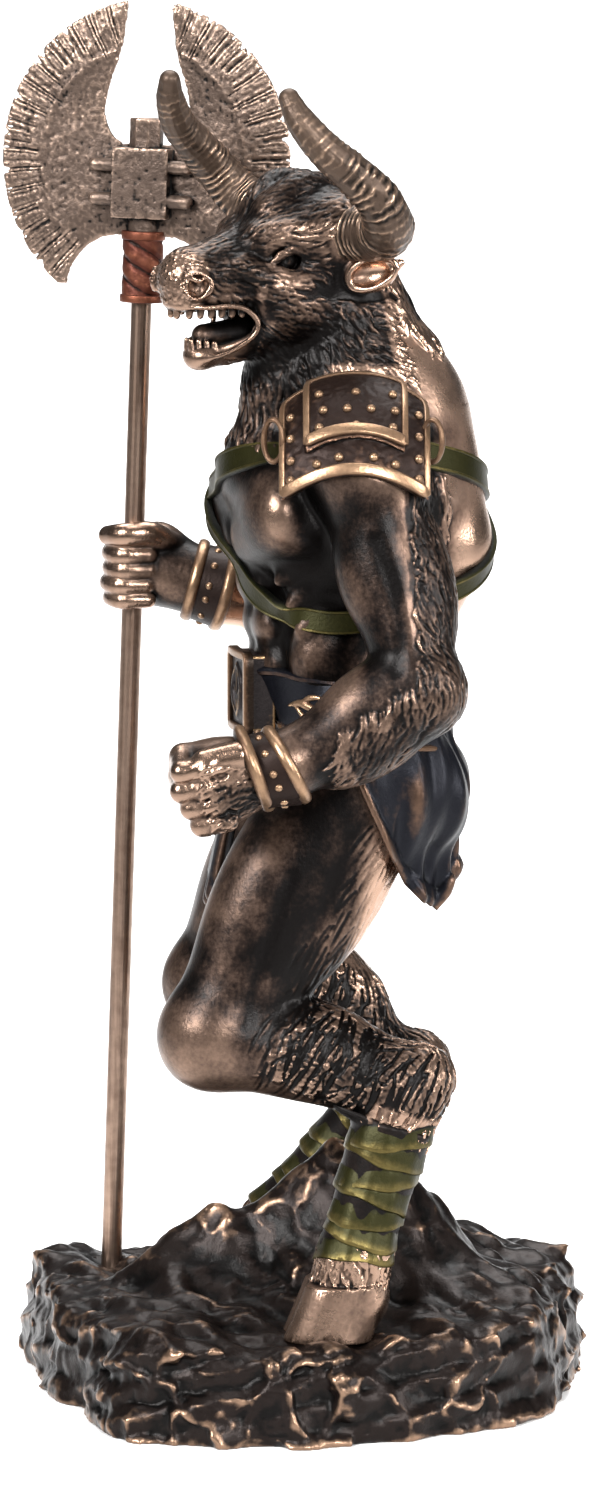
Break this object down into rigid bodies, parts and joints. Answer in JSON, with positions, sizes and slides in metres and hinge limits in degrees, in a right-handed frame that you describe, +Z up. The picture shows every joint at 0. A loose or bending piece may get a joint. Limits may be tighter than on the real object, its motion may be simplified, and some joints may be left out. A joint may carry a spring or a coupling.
{
  "type": "minotaur statue",
  "caption": "Standing bull-headed warrior figurine in cast bronze finish, a tall double-bladed axe in one hand, on a craggy rock base.",
  "frame": {"origin": "on the flat underside of the rock base, under the figure", "axes": "+Z up, -Y the way that the figure's body faces, +X the figure's left"},
  "size_m": [0.1136, 0.1288, 0.2998],
  "materials": {
    "cold_cast_bronze": "cold-cast bronze resin, dark brown patina in the hollows, rubbed bright on the high spots",
    "dark_rock": "near-black brown cast rock with bronze rubbed on its ridges",
    "bronze_rod": "smooth satin bronze rod",
    "axe_bronze": "dark pitted bronze with rubbed edges and a red-brown leather binding"
  },
  "bodies": {
    "root": {"minotaur_figure": "cold_cast_bronze", "rock_base": "dark_rock", "axe_shaft": "bronze_rod", "axe_head": "axe_bronze"}
  },
  "joints": []
}
